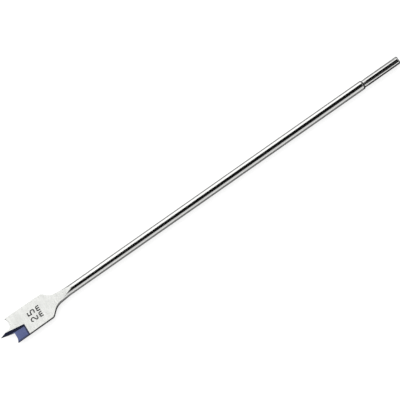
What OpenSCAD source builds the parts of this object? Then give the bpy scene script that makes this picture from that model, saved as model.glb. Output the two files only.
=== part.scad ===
// Spade drill bit, one piece of steel: a round bar turned and forged flat at
// one end, with a centre point, two cutting lips with outer spurs, two ground
// and lacquered grooves, and a hexagonal shank at the other end.
// It lies along X on its shaft, with its point at -X and its blade level.

/* [Overall] */
// Length from the tip of the point to the end of the shank
overall_l = 400; // [200:1:600]

/* [Blade] */
// Diameter that the bit cuts, across the tips of the spurs
cut_d = 25; // [20:0.5:40]
// Thickness of the blade between its two flat faces
blade_t = 2.5; // [2:0.1:4]
// Length of a blade side, from the tip of the spur to the shoulder
side_l = 36.5; // [25:0.5:60]
// How much narrower the blade is at the shoulders than across the spurs
back_taper = 0.6; // [0:0.1:1.2]

/* [Point] */
// Length of the point ahead of the lips
point_l = 12.1; // [8:0.1:18]
// Width of the point where it rises from the lips
point_w = 6.3; // [4:0.1:9]
// Radius in the corner between the point and a lip
root_r = 0.6; // [0.2:0.1:1.2]
// Relief angle of the point's two flanks
flank_relief = 8; // [4:1:20]

/* [Lips and spurs] */
// Height of a spur's tip ahead of the lip
spur_h = 1.4; // [0.5:0.1:3]
// Width of the curved end of a lip, which rises to the spur
spur_w = 4.5; // [2:0.1:6]
// Relief angle behind the edges of the lips and spurs
lip_relief = 14; // [4:1:18]

/* [Grooves] */
// Depth of a groove at its lip
groove_depth = 1.15; // [0.5:0.05:1.5]
// Length of a groove's floor behind its lip
groove_l = 9.4; // [4:0.1:16]
// Radius of the run-out at the end of a groove's floor
groove_end_r = 2.2; // [1:0.1:5]
// Angle at which a groove's floor rises towards the shank
hook_angle = 2; // [0:0.5:5]
// Angle between a groove's wall and the axis, on the blade face
wall_angle = 10; // [5:0.5:12]
// Slope of a groove's wall, down from the blade face
wall_slope = 24; // [15:1:26]

/* [Shoulders and neck] */
// Angle of the shoulder slopes to the axis
shoulder_angle = 45; // [30:1:60]
// Radius of the corner between a blade side and its shoulder slope
shoulder_r = 3; // [1:0.5:8]
// Radius of the hollow between a shoulder slope and the neck
neck_r = 10; // [4:0.5:14]
// Length from the shoulders to where the neck has become the shaft
neck_l = 20.5; // [16:0.5:40]
// Angle of the neck's taper to the axis
neck_angle = 5; // [1:0.5:6]
// Length from the shoulders to where the blade faces start to part
runout_start = 4.5; // [0:0.5:8]
// Angle at which each blade face runs out onto the shaft
runout_angle = 7; // [5:0.5:12]
// Radius of the forged blends at the run-out and at the end of the neck
forging_r = 40; // [10:1:60]

/* [Shaft and shank] */
// Diameter of the round shaft
shaft_d = 7.8; // [7.4:0.1:10]
// Length of the shank behind the shaft
shank_l = 35.4; // [25:0.1:60]
// Size of the hexagon across its flats
hex_af = 6.35; // [5:0.05:7]
// Diameter to which the corners of the hexagon are turned, as a share of the flats
hex_corner_share = 1.045; // [1.03:0.005:1.15]
// Length over which the corners of the hexagon run in behind the shaft
run_in_l = 3.9; // [1:0.1:8]
// Chamfer at the end of the shank
end_chamfer = 0.6; // [0.2:0.1:1.2]
// Angle between a flat of the hexagon and the blade face
hex_turn = 38; // [0:1:59]

/* [Hidden] */
$fn = 96;
easing_steps = 6;

steel = [0.80, 0.80, 0.78];
blue_lacquer = [0.33, 0.37, 0.55];

cut_r = cut_d / 2;
shoulder_half_w = cut_r - back_taper / 2;
shaft_r = shaft_d / 2;
flat_r = hex_af / 2;
corner_r = flat_r * hex_corner_share;

// Stations along the axis, from the tip of the point
spur_x = point_l - spur_h;
shoulder_x = spur_x + side_l;
neck_end_x = shoulder_x + neck_l;
runout_x = shoulder_x + runout_start;
shaft_end_x = overall_l - shank_l;

// Height of a cutting edge above the middle of the blade
lip_z = blade_t / 2 - groove_depth;

function unit(v) = v / norm(v);

// What lies between a corner at p, with sides towards q1 and q2, and its round of radius r.
// It reaches past the corner, so that it overlaps what it is added to or cut from.
module corner_sliver(p, q1, q2, r) {
    u1 = unit(q1 - p);
    u2 = unit(q2 - p);
    middle = unit(u1 + u2);
    half_angle = acos(u1 * u2) / 2;
    tangent_l = r / tan(half_angle);
    difference() {
        polygon([p - tangent_l / 4 * middle, p + tangent_l * u1, p + tangent_l * u2]);
        translate(p + r / sin(half_angle) * middle)
            circle(r);
    }
}

// Outline of the bar as [radius, station], before it is forged and ground
module blank_profile() {
    slope = tan(shoulder_angle);
    taper = tan(neck_angle);
    neck_x = (shoulder_half_w + slope * shoulder_x - shaft_r - taper * neck_end_x) / (slope - taper);
    front = [cut_r, -point_l / 2];
    spur = [cut_r, spur_x];
    shoulder = [shoulder_half_w, shoulder_x];
    neck = [shoulder_half_w - slope * (neck_x - shoulder_x), neck_x];
    neck_end = [shaft_r, neck_end_x];
    shaft_end = [shaft_r, shaft_end_x];
    shank_start = [flat_r, shaft_end_x];
    difference() {
        union() {
            polygon([
                [0, front.y], front, spur, shoulder, neck, neck_end, shaft_end, shank_start,
                [corner_r, shaft_end_x + run_in_l],
                [corner_r, overall_l - end_chamfer],
                [corner_r - end_chamfer, overall_l],
                [0, overall_l]
            ]);
            corner_sliver(neck, shoulder, neck_end, neck_r);
            corner_sliver(neck_end, neck, shaft_end, forging_r);
        }
        corner_sliver(shoulder, spur, neck, shoulder_r);
        corner_sliver(shaft_end, neck_end, shank_start, shaft_r - flat_r);
    }
}

// The bar, with the seam of its surface at the side, clear of the flats
module turned_blank() {
    rotate([0, 90, 0])
        rotate([0, 0, 90])
            rotate_extrude()
                blank_profile();
}

// Sets a drawing of [station, height] upright and makes it wider than the blade
module across_blade() {
    rotate([90, 0, 0])
        linear_extrude(height = 2 * cut_d, center = true)
            children();
}

// The upper forging die: flat over the blade, then easing upwards to free the shaft
module forging_die() {
    front = [-2 * point_l, blade_t / 2];
    start = [runout_x - forging_r * tan(runout_angle / 2), blade_t / 2];
    easing = [
        for (step = [0:easing_steps])
            let (a = runout_angle * step / easing_steps)
                start + forging_r * [sin(a), 1 - cos(a)]
    ];
    back = easing[easing_steps] + cut_d * [1 / tan(runout_angle), 1];
    across_blade()
        polygon(concat([front], easing, [back, [front.x, back.y]]));
}

// The ground groove in the upper face, on the -Y half: floor, round end and sloped wall
module groove() {
    reach = cut_d + point_l + groove_l;
    intersection() {
        translate([point_l, 0, lip_z])
            across_blade()
                rotate(hook_angle) {
                    translate([-reach, 0])
                        square([reach + groove_l, blade_t]);
                    translate([-reach, groove_end_r])
                        square([reach + groove_l + groove_end_r, blade_t]);
                    translate([groove_l, groove_end_r])
                        circle(groove_end_r);
                }
        translate([point_l, 0, blade_t / 2])
            rotate([wall_slope, 0, -wall_angle])
                translate([-reach, -reach, 0])
                    cube([2 * reach, 2 * reach, reach]);
    }
}

// Where [station, offset] on the middle plane of the blade is drawn on the leaning plane
// that the grinding of the lips and flanks is extruded from
function leaning(v) = [
    v.x * cos(lip_relief),
    (v.y - v.x * sin(lip_relief) * tan(flank_relief)) * cos(flank_relief)
];

// What is ground off ahead of the -Y lip: beside the point, along the lip and inside the spur
module lip_grinding() {
    spur_arc_r = (spur_w * spur_w + spur_h * spur_h) / (2 * spur_h);
    tip = leaning([0, 0]);
    root = leaning([point_l, -point_w / 2]);
    lip_end = leaning([point_l, -cut_d]);
    spur_foot = leaning([point_l, spur_w - cut_r]);
    ahead = 2 * tip - root;
    rotate([flank_relief, -lip_relief, 0])
        linear_extrude(height = 4 * blade_t, center = true)
            difference() {
                polygon([ahead, root, lip_end, [ahead.x, lip_end.y]]);
                corner_sliver(root, tip, lip_end, root_r);
                difference() {
                    translate(spur_foot - [2 * spur_h, spur_w + spur_h])
                        square([4 * spur_h, spur_w + spur_h]);
                    translate(spur_foot - [spur_arc_r, 0])
                        circle(spur_arc_r);
                }
            }
}

// What is milled off round the hexagon of the shank
module shank_milling() {
    translate([shaft_end_x, 0, 0])
        rotate([hex_turn, 0, 0])
            rotate([0, 90, 0])
                difference() {
                    cylinder(r = 2 * shaft_r, h = 2 * shank_l);
                    rotate([0, 0, 30])
                        translate([0, 0, -shank_l])
                            cylinder(r = flat_r / cos(30), h = 4 * shank_l, $fn = 6);
                }
}

module spade_bit() {
    translate([-overall_l / 2, 0, shaft_r])
        difference() {
            color(steel)
                difference() {
                    turned_blank();
                    shank_milling();
                    for (face_turn = [0, 180])
                        rotate([face_turn, 0, 0]) {
                            forging_die();
                            lip_grinding();
                        }
                }
            color(blue_lacquer)
                for (face_turn = [0, 180])
                    rotate([face_turn, 0, 0])
                        groove();
        }
}

spade_bit();
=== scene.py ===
# A spade drill bit, lying on a pale studio floor with its blade level.
# The bar runs along X with its point at -X, and all sizes are in metres.
from math import atan2, cos, pi, radians, sin, tan

import bmesh
import bpy
from mathutils import Matrix, Vector


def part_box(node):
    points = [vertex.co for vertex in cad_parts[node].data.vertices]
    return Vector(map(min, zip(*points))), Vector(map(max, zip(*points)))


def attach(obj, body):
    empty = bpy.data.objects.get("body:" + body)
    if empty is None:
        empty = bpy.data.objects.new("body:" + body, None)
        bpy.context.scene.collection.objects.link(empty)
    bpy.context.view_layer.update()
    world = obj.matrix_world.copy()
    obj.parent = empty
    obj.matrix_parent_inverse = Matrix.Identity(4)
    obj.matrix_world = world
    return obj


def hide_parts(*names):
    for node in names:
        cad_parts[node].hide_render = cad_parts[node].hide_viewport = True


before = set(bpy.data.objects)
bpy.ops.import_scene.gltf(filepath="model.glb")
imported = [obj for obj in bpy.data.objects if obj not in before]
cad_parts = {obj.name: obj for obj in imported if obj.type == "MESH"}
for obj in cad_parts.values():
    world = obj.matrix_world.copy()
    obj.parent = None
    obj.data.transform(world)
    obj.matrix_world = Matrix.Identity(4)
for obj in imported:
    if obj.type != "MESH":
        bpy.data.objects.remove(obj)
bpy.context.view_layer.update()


# The bar: one length of round tool steel, turned to the blade's outline at the front and
# to the corner diameter of the shank at the back. The shaft is polished, the step behind
# it is painted dark as a ring of painted shade, and the run-in of the shank has a satin finish.
MM = 0.001
box_low, box_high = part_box("spade_bit")
tip_x = box_low.x
end_x = box_high.x
cut_r = box_high.y
shaft_r = box_high.z / 2
axis_z = shaft_r
point_l = 12.1 * MM
spur_h = 1.4 * MM
side_l = 36.5 * MM
back_taper = 0.3 * MM
neck_l = 20.5 * MM
shoulder_angle = radians(45)
neck_angle = radians(5)
shoulder_r = 3 * MM
neck_r = 10 * MM
forging_r = 40 * MM
shank_l = 35.4 * MM
flat_r = 6.35 / 2 * MM
corner_r = 1.045 * flat_r
run_in_l = 3.9 * MM
shade_ring_l = 1.1 * MM
end_chamfer = 0.6 * MM
bar_segments = 160
round_segments = 10
same_point = 1e-7  # points nearer to each other than this are one
square_to_bar = 0.99  # a face whose normal lies this much along the bar is an end face

lip_x = tip_x + point_l
spur_x = lip_x - spur_h
shoulder_x = spur_x + side_l
shoulder_half_w = cut_r - back_taper
neck_end_x = shoulder_x + neck_l
shaft_end_x = end_x - shank_l


def outline_face(bm, points):
    """A flat face through the points, with its corners still sharp."""
    return bm.faces.new([bm.verts.new(point) for point in points])


def round_corner(bm, corner, radius):
    """Rounds the corner of an outline face that is at the given point."""
    vert = min(bm.verts, key=lambda v: (v.co - Vector(corner)).length)
    before, after = [edge.other_vert(vert).co - vert.co for edge in vert.link_edges]
    reach = radius / tan(before.angle(after) / 2)
    bmesh.ops.bevel(bm, geom=[vert], affect="VERTICES", offset=reach, segments=round_segments,
                    profile=0.5, material=-1)


def sweep(bm, direction):
    """Turns an outline face into a closed solid that is drawn out along a direction."""
    drawn = bmesh.ops.extrude_face_region(bm, geom=bm.faces[:])["geom"]
    bmesh.ops.translate(bm, vec=direction, verts=[v for v in drawn if isinstance(v, bmesh.types.BMVert)])
    bmesh.ops.recalc_face_normals(bm, faces=bm.faces)


def new_object(bm, name, *materials):
    """A mesh object made of the bmesh, in materials that its faces name by number."""
    mesh = bpy.data.meshes.new(name)
    bm.to_mesh(mesh)
    bm.free()
    for material in materials:
        mesh.materials.append(material)
    obj = bpy.data.objects.new(name, mesh)
    bpy.context.scene.collection.objects.link(obj)
    return obj


def link_nodes(tree, *pairs):
    """Links each output of a node tree to the input that is paired with it."""
    for source, target in pairs:
        tree.links.new(source, target)


def make_marks_group():
    """Fine parallel tool marks and a soft mottle, as two values from 0 to 1."""
    noise_low, noise_high = 0.3, 0.7
    group = bpy.data.node_groups.new("tool_marks", "ShaderNodeTree")
    panel = group.interface
    panel.new_socket("Marks Vector", in_out="INPUT", socket_type="NodeSocketVector")
    panel.new_socket("Mottle Vector", in_out="INPUT", socket_type="NodeSocketVector")
    for name in ("Marks", "Mottle"):
        panel.new_socket(name, in_out="OUTPUT", socket_type="NodeSocketFloat")
    entry = group.nodes.new("NodeGroupInput")
    leave = group.nodes.new("NodeGroupOutput")
    for name, detail in (("Marks", 4), ("Mottle", 3)):
        noise = group.nodes.new("ShaderNodeTexNoise")
        noise.inputs["Scale"].default_value = 1
        noise.inputs["Detail"].default_value = detail
        noise.inputs["Roughness"].default_value = 0.6
        spread = group.nodes.new("ShaderNodeMapRange")
        spread.inputs["From Min"].default_value = noise_low
        spread.inputs["From Max"].default_value = noise_high
        link_nodes(
            group,
            (entry.outputs[name + " Vector"], noise.inputs["Vector"]),
            (noise.outputs["Fac"], spread.inputs["Value"]),
            (spread.outputs["Result"], leave.inputs[name]),
        )
    return group


marks_group = make_marks_group()


def marked_metal(name, dark, light, roughness, marks_per_m, mottle_per_m, depth, metallic=1):
    """A finish whose colour follows a soft mottle, and whose gloss follows fine tool marks."""
    colour_a, colour_b, mixed_colour = 6, 7, 2  # the Mix node's colour sockets
    material = bpy.data.materials.new(name)
    material.use_nodes = True
    tree = material.node_tree
    shader = tree.nodes["Principled BSDF"]
    shader.inputs["Metallic"].default_value = metallic
    place = tree.nodes.new("ShaderNodeTexCoord")
    marks = tree.nodes.new("ShaderNodeGroup")
    marks.node_tree = marks_group
    for socket, density in (("Marks Vector", marks_per_m), ("Mottle Vector", mottle_per_m)):
        stretch = tree.nodes.new("ShaderNodeMapping")
        stretch.inputs["Scale"].default_value = density
        link_nodes(
            tree,
            (place.outputs["Object"], stretch.inputs["Vector"]),
            (stretch.outputs["Vector"], marks.inputs[socket]),
        )
    tone = tree.nodes.new("ShaderNodeMix")
    tone.data_type = "RGBA"
    tone.inputs[colour_a].default_value = (*dark, 1)
    tone.inputs[colour_b].default_value = (*light, 1)
    gloss = tree.nodes.new("ShaderNodeMapRange")
    gloss.inputs["To Min"].default_value = roughness[0]
    gloss.inputs["To Max"].default_value = roughness[1]
    bump = tree.nodes.new("ShaderNodeBump")
    bump.inputs["Strength"].default_value = 1
    bump.inputs["Distance"].default_value = depth
    link_nodes(
        tree,
        (marks.outputs["Mottle"], tone.inputs["Factor"]),
        (tone.outputs[mixed_colour], shader.inputs["Base Color"]),
        (marks.outputs["Marks"], gloss.inputs["Value"]),
        (gloss.outputs["Result"], shader.inputs["Roughness"]),
        (marks.outputs["Marks"], bump.inputs["Height"]),
        (bump.outputs["Normal"], shader.inputs["Normal"]),
    )
    return material


polished_steel = marked_metal(
    "polished_steel", dark=(0.74, 0.74, 0.725), light=(0.80, 0.80, 0.785), roughness=(0.10, 0.18),
    marks_per_m=(3500, 80, 80), mottle_per_m=(60, 200, 200), depth=0.4e-6)
# painted shade: a dark steel that paints the step behind the shaft as a dark ring
painted_shade_steel = marked_metal(
    "painted_shade_steel", dark=(0.12, 0.12, 0.115), light=(0.2, 0.2, 0.19), roughness=(0.4, 0.5),
    marks_per_m=(900, 300, 300), mottle_per_m=(300, 300, 300), depth=1e-6)
satin_steel = marked_metal(
    "satin_steel", dark=(0.86, 0.86, 0.84), light=(0.92, 0.92, 0.90), roughness=(0.30, 0.38),
    marks_per_m=(2200, 60, 60), mottle_per_m=(260, 130, 130), depth=1e-6, metallic=0.9)

slope = tan(shoulder_angle)
taper = tan(neck_angle)
neck_x = (shoulder_half_w + slope * shoulder_x - shaft_r - taper * neck_end_x) / (slope - taper)
shoulder = (shoulder_x, 0, shoulder_half_w)
neck = (neck_x, 0, shoulder_half_w - slope * (neck_x - shoulder_x))
neck_end = (neck_end_x, 0, shaft_r)
shaft_end = (shaft_end_x, 0, shaft_r)
step_h = shaft_r - flat_r
step_r = 0.999 * step_h  # a hair less than the step, so that its two corners stay apart
shade_ring_start_x = shaft_end_x - 0.1 * step_h  # the last of the step's round takes the painted shade too
shade_ring_end_x = shaft_end_x + shade_ring_l
run_in_end_x = shaft_end_x + run_in_l
bm = bmesh.new()
outline_face(bm, [
    (tip_x, 0, 0), (tip_x, 0, cut_r), (spur_x, 0, cut_r), shoulder, neck, neck_end, shaft_end,
    (shaft_end_x, 0, flat_r), (shade_ring_end_x, 0, flat_r + shade_ring_l / run_in_l * (corner_r - flat_r)),
    (run_in_end_x, 0, corner_r), (end_x - end_chamfer, 0, corner_r),
    (end_x, 0, corner_r - end_chamfer), (end_x, 0, 0),
])
for corner, radius in ((shoulder, shoulder_r), (neck, neck_r), (neck_end, forging_r),
                       (shaft_end, step_r)):
    round_corner(bm, corner, radius)
bmesh.ops.delete(bm, geom=bm.faces[:], context="FACES_ONLY")
on_axis = [e for e in bm.edges if all(abs(v.co.z) < same_point for v in e.verts)]
bmesh.ops.delete(bm, geom=on_axis, context="EDGES")
bmesh.ops.spin(bm, geom=bm.verts[:] + bm.edges[:], cent=(0, 0, 0), axis=(1, 0, 0), angle=2 * pi,
               steps=bar_segments, use_merge=True)
bmesh.ops.remove_doubles(bm, verts=bm.verts, dist=same_point)
bmesh.ops.recalc_face_normals(bm, faces=bm.faces)
polished, shade_ring, satin = range(3)
for face in bm.faces:
    face.smooth = abs(face.normal.x) < square_to_bar
    x = face.calc_center_median().x
    # painted shade: the faces of the step take the dark steel
    if x < shade_ring_start_x or x > run_in_end_x:
        face.material_index = polished
    else:
        face.material_index = shade_ring if x < shade_ring_end_x else satin
bit = new_object(bm, "bit", polished_steel, painted_shade_steel, satin_steel)


# The blade: the front of the bar, forged hot between two flat dies and ground
# to an even satin finish. The dies ease up behind the shoulders, so that each
# face runs out onto the round shaft as a long tongue.
blade_t = 2.5 * MM
runout_start = 4.5 * MM
runout_x = shoulder_x + runout_start
runout_angle = radians(7)
well_clear = 2 * cut_r
swept_w = 2 * well_clear
ground_steel = marked_metal(
    "ground_steel", dark=(0.72, 0.73, 0.705), light=(0.82, 0.825, 0.80), roughness=(0.30, 0.42),
    marks_per_m=(2200, 60, 60), mottle_per_m=(260, 130, 130), depth=1.2e-6)

cutters = []


def smooth_strips(bm, flat_area):
    """Smooths the narrow strips of a round, and leaves faces of a larger area flat."""
    for face in bm.faces:
        face.smooth = face.calc_area() < flat_area


def rotate(bm, angle, axis):
    """Turns a shape about an axis of the frame."""
    bmesh.ops.rotate(bm, cent=(0, 0, 0), matrix=Matrix.Rotation(angle, 3, axis), verts=bm.verts)


def cut_both_faces(bm, name, *materials):
    """Keeps a shape to be cut from the upper face, and its half turn for the lower face."""
    for turn in (0, pi):
        copy = bm.copy()
        rotate(copy, turn, "X")
        cutters.append(new_object(copy, name, *materials))
    bm.free()


bm = bmesh.new()
runout = (runout_x, -well_clear, blade_t / 2)
freed_x = runout_x + well_clear / tan(runout_angle)
outline_face(bm, [
    (tip_x - well_clear, -well_clear, blade_t / 2), runout,
    (freed_x, -well_clear, blade_t / 2 + well_clear),
    (tip_x - well_clear, -well_clear, blade_t / 2 + well_clear),
])
round_corner(bm, runout, forging_r)
sweep(bm, (0, swept_w, 0))
eased_area = swept_w * forging_r * runout_angle
smooth_strips(bm, eased_area / 2)
cut_both_faces(bm, "forging_die", ground_steel)


# The point, the lips and the spurs: ground from the flat blade with relief, so
# that each edge leads on its own side of the blade. A lip runs straight out from
# the point and curves forward at its end into a spur that scores the hole.
point_half_w = 6.3 / 2 * MM
root_r = 0.6 * MM
spur_w = 4.5 * MM
flank_relief = radians(8)
lip_relief = radians(14)
grinding_h = 4 * blade_t

relief_axis = Vector((
    -sin(lip_relief) * cos(flank_relief), -sin(flank_relief), cos(lip_relief) * cos(flank_relief)))
bm = bmesh.new()
root = Vector((lip_x, -point_half_w, 0))
tip = Vector((tip_x, 0, 0))
ahead = 2 * tip - root
spur_arc_r = (spur_w ** 2 + spur_h ** 2) / (2 * spur_h)
spur_turn = atan2(spur_w, spur_arc_r - spur_h)
past_spur = 1.3  # the curve goes on past the tip of the spur
spur_steps = 12
spur_curve = [
    (lip_x - spur_arc_r * (1 - cos(a)), -cut_r + spur_w - spur_arc_r * sin(a), 0)
    for a in (past_spur * spur_turn * step / spur_steps for step in range(spur_steps + 1))
]
outline_face(bm, [ahead, root, *spur_curve, (ahead.x, spur_curve[-1][1], 0)])
round_corner(bm, root, root_r)
sweep(bm, grinding_h * relief_axis)
bmesh.ops.translate(bm, vec=-grinding_h / 2 * relief_axis, verts=bm.verts)
smooth_strips(bm, grinding_h * spur_w / 4)
cut_both_faces(bm, "lip_grinding", ground_steel)


# The grooves: one is ground into each face behind its lip, with a flat floor, a round end
# and a long sloped wall that runs forward into the point. A thin blue lacquer covers the
# ground metal, and its round end and outer rim are painted darker as painted shade.
groove_depth = 1.15 * MM
groove_l = 9.4 * MM
groove_end_r = 2.2 * MM
hook_angle = radians(2)
wall_angle = radians(10)
wall_slope = radians(24)
rim_w = 1.2 * MM
groove_lacquer = marked_metal(
    "groove_lacquer", dark=(0.083, 0.105, 0.237), light=(0.11, 0.133, 0.275), roughness=(0.24, 0.34),
    marks_per_m=(900, 60, 60), mottle_per_m=(180, 120, 120), depth=0.8e-6, metallic=0.68)
# painted shade: a darker copy of the lacquer, for the groove's round end, its outer rim and the blade's
# sides beside it
painted_shade_lacquer = marked_metal(
    "painted_shade_lacquer", dark=(0.045, 0.055, 0.12), light=(0.06, 0.07, 0.145), roughness=(0.24, 0.34),
    marks_per_m=(900, 60, 60), mottle_per_m=(180, 120, 120), depth=0.8e-6, metallic=0.68)


def split(bm, point, normal, keep_front_only=False):
    """Splits a shape's faces along a plane, and can leave only what is in front of it."""
    bmesh.ops.bisect_plane(bm, geom=bm.verts[:] + bm.edges[:] + bm.faces[:], plane_co=point,
                           plane_no=normal, clear_inner=keep_front_only)


bm = bmesh.new()
rear_corner = (groove_l + groove_end_r, -well_clear, 0)
outline_face(bm, [
    (-well_clear, -well_clear, 0), rear_corner,
    (groove_l + groove_end_r, -well_clear, groove_end_r + blade_t),
    (-well_clear, -well_clear, groove_end_r + blade_t),
])
round_corner(bm, rear_corner, groove_end_r)
sweep(bm, (0, swept_w, 0))
rotate(bm, -hook_angle, "Y")
bmesh.ops.translate(bm, vec=(lip_x, 0, blade_t / 2 - groove_depth), verts=bm.verts)
wall_normal = Vector((
    -sin(wall_slope) * sin(wall_angle), -sin(wall_slope) * cos(wall_angle), cos(wall_slope)))
thin, painted_shade = range(2)
smooth_strips(bm, swept_w * groove_end_r / 4)
# painted shade: the faces of the round end take the darker lacquer
for face in bm.faces:
    face.material_index = painted_shade if face.smooth else thin
split(bm, (lip_x, 0, blade_t / 2), wall_normal, keep_front_only=True)
bmesh.ops.holes_fill(bm, edges=bm.edges)
rim_y = rim_w - cut_r
split(bm, (0, rim_y, 0), (0, 1, 0))
# painted shade: the strip along the outer rim takes the darker lacquer
for face in bm.faces:
    if face.calc_center_median().y < rim_y:
        face.material_index = painted_shade
bmesh.ops.recalc_face_normals(bm, faces=bm.faces)
cut_both_faces(bm, "groove", groove_lacquer, painted_shade_lacquer)


# The shank: the back of the bar, milled to a hexagon for the chuck or the bit
# holder. Its flats carry fine marks along the bar, and its corners keep the round
# of the turning, which runs in behind the end of the shaft.
hex_turn = radians(38)
hex_clear = 0.02 * MM  # how far behind the shaft's end the milling starts
milled_steel = marked_metal(
    "milled_steel", dark=(0.70, 0.70, 0.685), light=(0.77, 0.77, 0.755), roughness=(0.16, 0.26),
    marks_per_m=(30, 3200, 3200), mottle_per_m=(90, 260, 260), depth=0.5e-6)

bm = bmesh.new()
bmesh.ops.create_circle(bm, segments=6, radius=flat_r / cos(pi / 6))
rim = bmesh.ops.extrude_edge_only(bm, edges=bm.edges[:])["geom"]
bmesh.ops.scale(bm, vec=(2, 2, 2), verts=[v for v in rim if isinstance(v, bmesh.types.BMVert)])
rotate(bm, pi / 2, "Y")
flat_middles = [(e.verts[0].co + e.verts[1].co) / 2 for e in bm.edges if e.is_boundary]
first_turn = min(atan2(-middle.y, middle.z) % (pi / 3) for middle in flat_middles)
rotate(bm, hex_turn - first_turn, "X")
bmesh.ops.translate(bm, vec=(shaft_end_x + hex_clear, 0, 0), verts=bm.verts)
sweep(bm, (2 * shank_l, 0, 0))
cutters.append(new_object(bm, "shank_milling", milled_steel))


# The finished bit: the bar with all its forging, grinding and milling cut from it, and
# its edges left crisp. The blue lacquer runs over the blade's sides beside the grooves, in its darker
# copy, which is painted shade.
soft_edge_angle = radians(22)
side_band = 1 * MM
square_to_side = 0.9  # a face whose normal lies this much across the bar is a side face
lacquer_end_x = lip_x + groove_l + groove_end_r

for cutter in cutters:
    cut = bit.modifiers.new(cutter.name, "BOOLEAN")
    cut.object = cutter
    cut.operation = "DIFFERENCE"
    cut.solver = "EXACT"
    cut.material_mode = "TRANSFER"
made = bpy.data.meshes.new_from_object(bit.evaluated_get(bpy.context.evaluated_depsgraph_get()))
bit.modifiers.clear()
bit.data = made
for cutter in cutters:
    bpy.data.objects.remove(cutter)

side_painted_shade = made.materials.find(painted_shade_lacquer.name)
bm = bmesh.new()
bm.from_mesh(made)
split(bm, (lacquer_end_x, 0, 0), (1, 0, 0))
# painted shade: the side faces beside the grooves take the darker lacquer
for face in bm.faces:
    centre = face.calc_center_median()
    at_side = abs(face.normal.y) > square_to_side and abs(centre.y) > cut_r - side_band
    if at_side and centre.x < lacquer_end_x:
        face.material_index = side_painted_shade
bm.to_mesh(made)
bm.free()
made.transform(Matrix.Translation((0, 0, axis_z)))
made.set_sharp_from_angle(angle=soft_edge_angle)
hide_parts("spade_bit")
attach(bit, "root")


# The size mark: the cutting diameter and its unit, dark on the middle of the upper face
# and hardly proud of it, in plain strokes of one width. It reads with the point upwards.
stroke_w = 1.05 * MM
half_stroke_mm = stroke_w / MM / 2
stroke_height = 0.015 * MM
digits_x = tip_x + 36.2 * MM
unit_x = tip_x + 41.4 * MM
arc_steps = 14
mark_grey = marked_metal(
    "mark_grey", dark=(0.014, 0.014, 0.013), light=(0.026, 0.026, 0.025), roughness=(0.45, 0.65),
    marks_per_m=(5000, 5000, 5000), mottle_per_m=(1500, 1500, 1500), depth=2e-6, metallic=0)


def arc(centre, radius, start, end):
    """Points along an arc, with its angles in degrees from the right, turning left."""
    angles = [radians(start + (end - start) * step / arc_steps) for step in range(arc_steps + 1)]
    return [(centre[0] + radius * cos(a), centre[1] + radius * sin(a)) for a in angles]


def digit_two(w, h):
    """The stroke of a 2 as wide and as high as given: a bowl, a bend and a foot."""
    r = w / 2
    bend_r = 0.26 * w
    return [arc((r, h - r), r, 170, -30) + arc((bend_r, bend_r), bend_r, 120, 270) + [(w, 0)]]


def digit_five(w, h):
    """The strokes of a 5: a flag and a stem with square corners, and a bowl."""
    r = 0.285 * h
    stem_x = 0.4
    short = 0.15
    tail_up = 0.55
    bowl = [(short, 2 * r - short)] + arc((w - r, r), r, 100, -120) + [(0, tail_up)]
    return [
        [(w - short, h), (stem_x - half_stroke_mm, h)],
        [(stem_x, h), (bowl[0][0], bowl[0][1] - half_stroke_mm)],
        bowl,
    ]


def letter_m(w, h):
    """The strokes of a small m: a stem and two arches."""
    r = w / 4
    arches = [arc((side + r, h - r), r, 180, 0) + [(side + 2 * r, 0)] for side in (0, 2 * r)]
    return [[(0, 0), (0, h)], *arches]


def write_stroke(curve, points, left_mm, x):
    """Adds one stroke to a curve, from points in mm right of and above a letter's lower left."""
    spline = curve.splines.new("POLY")
    spline.points.add(len(points) - 1)
    for knot, (right_mm, up_mm) in zip(spline.points, points):
        knot.co = (x - up_mm * MM, (left_mm + right_mm) * MM, 0, 1)


mark_curve = bpy.data.curves.new("mark_strokes", "CURVE")
mark_curve.dimensions = "3D"
mark_curve.bevel_depth = stroke_w / 2
mark_curve.use_fill_caps = True
for letter, w_mm, h_mm, foot_x, left_mm in (
    (digit_two, 4.5, 7.0, digits_x, -5.75),
    (digit_five, 4.7, 7.15, digits_x, 0.55),
    (letter_m, 5.1, 3.9, unit_x, -5.85),
    (letter_m, 5.1, 3.9, unit_x, 0.25),
):
    for points in letter(w_mm - 2 * half_stroke_mm, h_mm - 2 * half_stroke_mm):
        write_stroke(mark_curve, points, left_mm + half_stroke_mm, foot_x - stroke_w / 2)
strokes = bpy.data.objects.new("mark_strokes", mark_curve)
bpy.context.scene.collection.objects.link(strokes)
bm = bmesh.new()
depsgraph = bpy.context.evaluated_depsgraph_get()
bm.from_mesh(bpy.data.meshes.new_from_object(strokes.evaluated_get(depsgraph)))
bpy.data.objects.remove(strokes)
bmesh.ops.remove_doubles(bm, verts=bm.verts, dist=same_point)
bmesh.ops.scale(bm, vec=(1, 1, 2 * stroke_height / stroke_w), verts=bm.verts)
bmesh.ops.translate(bm, vec=(0, 0, axis_z + blade_t / 2), verts=bm.verts)
bmesh.ops.recalc_face_normals(bm, faces=bm.faces)
size_mark = new_object(bm, "size_mark", mark_grey)
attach(size_mark, "root")


# The studio: a wide white floor in a white surround, with a long soft box behind the bit.
# Cards that only the steel mirrors stand round it: a dark one overhead, pale ones beyond
# both ends and far behind, and three mats under the bit, whose greys are painted shadow.
floor_size = 8
floor_grey = 0.4
floor_lift = 0.75
surround_level = 0.75


def matt_finish(name, grey):
    """A finish of one grey, without any gloss."""
    material = bpy.data.materials.new(name)
    material.use_nodes = True
    shader = material.node_tree.nodes["Principled BSDF"]
    shader.inputs["Base Color"].default_value = (grey, grey, grey, 1)
    shader.inputs["Roughness"].default_value = 1
    shader.inputs["Specular IOR Level"].default_value = 0
    return material


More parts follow.
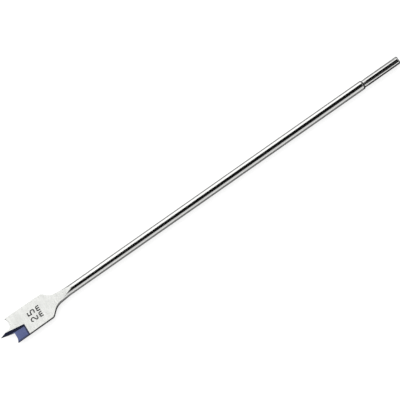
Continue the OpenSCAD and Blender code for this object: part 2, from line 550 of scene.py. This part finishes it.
floor_white = matt_finish("floor_white", floor_grey)
tree = floor_white.node_tree
floor_shader = tree.nodes["Principled BSDF"]
ray = tree.nodes.new("ShaderNodeLightPath")
seen = ray.outputs["Is Camera Ray"]
for kind in ("Is Glossy Ray", "Is Transmission Ray"):
    either = tree.nodes.new("ShaderNodeMath")
    either.operation = "MAXIMUM"
    link_nodes(tree, (seen, either.inputs[0]), (ray.outputs[kind], either.inputs[1]))
    seen = either.outputs["Value"]
lift = tree.nodes.new("ShaderNodeMath")
lift.operation = "MULTIPLY"
lift.inputs[1].default_value = floor_lift
link_nodes(tree, (seen, lift.inputs[0]),
           (lift.outputs["Value"], floor_shader.inputs["Emission Strength"]))
floor_shader.inputs["Emission Color"].default_value = (1, 1, 1, 1)
bm = bmesh.new()
bmesh.ops.create_grid(bm, x_segments=8, y_segments=8, size=floor_size / 2)
floor = new_object(bm, "floor", floor_white)

world = bpy.data.worlds.new("surround")
world.use_nodes = True
background = world.node_tree.nodes["Background"]
background.inputs["Color"].default_value = (1, 1, 1, 1)
background.inputs["Strength"].default_value = surround_level
bpy.context.scene.world = world


def mirrored_card(name, grey, corners):
    """A plain card that shows only in the gloss of the steel, and shades nothing."""
    bm = bmesh.new()
    outline_face(bm, corners)
    card = new_object(bm, name, matt_finish(name, grey))
    for ray_kind in ("camera", "diffuse", "shadow", "transmission", "volume_scatter"):
        setattr(card, "visible_" + ray_kind, False)


card_half_l = 2.0
card_foot = 0.02
overhead_grey = 0.02
overhead_z = 1.0
overhead_far = overhead_z * tan(radians(18))
overhead_near = -overhead_z * tan(radians(59))
mirrored_card("overhead_card", overhead_grey, [
    (-card_half_l, overhead_near, overhead_z), (card_half_l, overhead_near, overhead_z),
    (card_half_l, overhead_far, overhead_z), (-card_half_l, overhead_far, overhead_z)])

end_card_grey = 0.65
end_card_x = 1.0
end_card_near, end_card_far = -1.0, 1.5
end_card_top = 1.2
for name, x in (("point_end_card", -end_card_x), ("shank_end_card", end_card_x)):
    mirrored_card(name, end_card_grey, [
        (x, end_card_near, card_foot), (x, end_card_far, card_foot),
        (x, end_card_far, end_card_top), (x, end_card_near, end_card_top)])

far_card_grey = 0.6
far_card_y = 2.0
far_card_top = 0.75
mirrored_card("far_card", far_card_grey, [
    (-card_half_l, far_card_y, card_foot), (card_half_l, far_card_y, card_foot),
    (card_half_l, far_card_y, far_card_top), (-card_half_l, far_card_y, far_card_top)])

mat_near, mat_far = -0.024, 0.4
mat_reach = 0.3
mat_z = 0.2 * MM
under_blade = 56 * MM
ahead_of_step = 1 * MM
mat_joints = (
    tip_x - mat_reach, tip_x + under_blade, shaft_end_x - ahead_of_step, end_x + mat_reach)
mat_names = ("blade_mat", "shaft_mat", "shank_mat")
# painted shadow: each mat is as dark as the floor's shadow under that part of the bit, darker under the
# blade and the shank than under the shaft, for the steel to mirror
painted_shadow_greys = (0.1, 0.3, 0.06)
for name, grey, x, to_x in zip(mat_names, painted_shadow_greys, mat_joints, mat_joints[1:]):
    mirrored_card(name, grey, [
        (x, mat_near, mat_z), (to_x, mat_near, mat_z), (to_x, mat_far, mat_z), (x, mat_far, mat_z)])

key_angle = radians(42)
key_distance = 1.2
key_spread = radians(25)
key_radiance = 0.65
key_long = 3.0
key = bpy.data.lights.new("soft_box", "AREA")
key.shape = "RECTANGLE"
key.size = key_long
key.size_y = 2 * key_distance * tan(key_spread)
key.energy = key_radiance * pi * key.size * key.size_y
key_lamp = bpy.data.objects.new("soft_box", key)
key_lamp.location = (0, key_distance * sin(key_angle), key_distance * cos(key_angle))
key_lamp.rotation_euler = (-key_angle, 0, 0)
bpy.context.scene.collection.objects.link(key_lamp)


# The camera: a long lens well away, looking down on the bit from its near side
# and from a little towards the shank, and turned so that the bar lies aslant.
photo_px = 400
px_per_m = 1220
camera_distance = 4.0
look_down = radians(62)
towards_shank = radians(5.7)
slant = radians(35.04)
aim_along = 0.72 * MM
aim_across = 0.81 * MM
from_side = Vector((0, -cos(look_down), sin(look_down)))
back = cos(towards_shank) * from_side + sin(towards_shank) * Vector((1, 0, 0))
along_bar = (Vector((1, 0, 0)) - back.x * back).normalized()
across_bar = back.cross(along_bar)
right = cos(slant) * along_bar - sin(slant) * across_bar
up = sin(slant) * along_bar + cos(slant) * across_bar
aim = Vector((aim_along, 0, axis_z)) - aim_across * across_bar
lens = bpy.data.cameras.new("long_lens")
lens.lens = lens.sensor_width * camera_distance * px_per_m / photo_px
lens.clip_end = 100
camera = bpy.data.objects.new("camera", lens)
camera.matrix_world = (Matrix.Translation(aim + camera_distance * back)
                       @ Matrix((right, up, back)).transposed().to_4x4())
bpy.context.scene.collection.objects.link(camera)
bpy.context.scene.camera = camera
bpy.context.scene.view_settings.view_transform = "Standard"
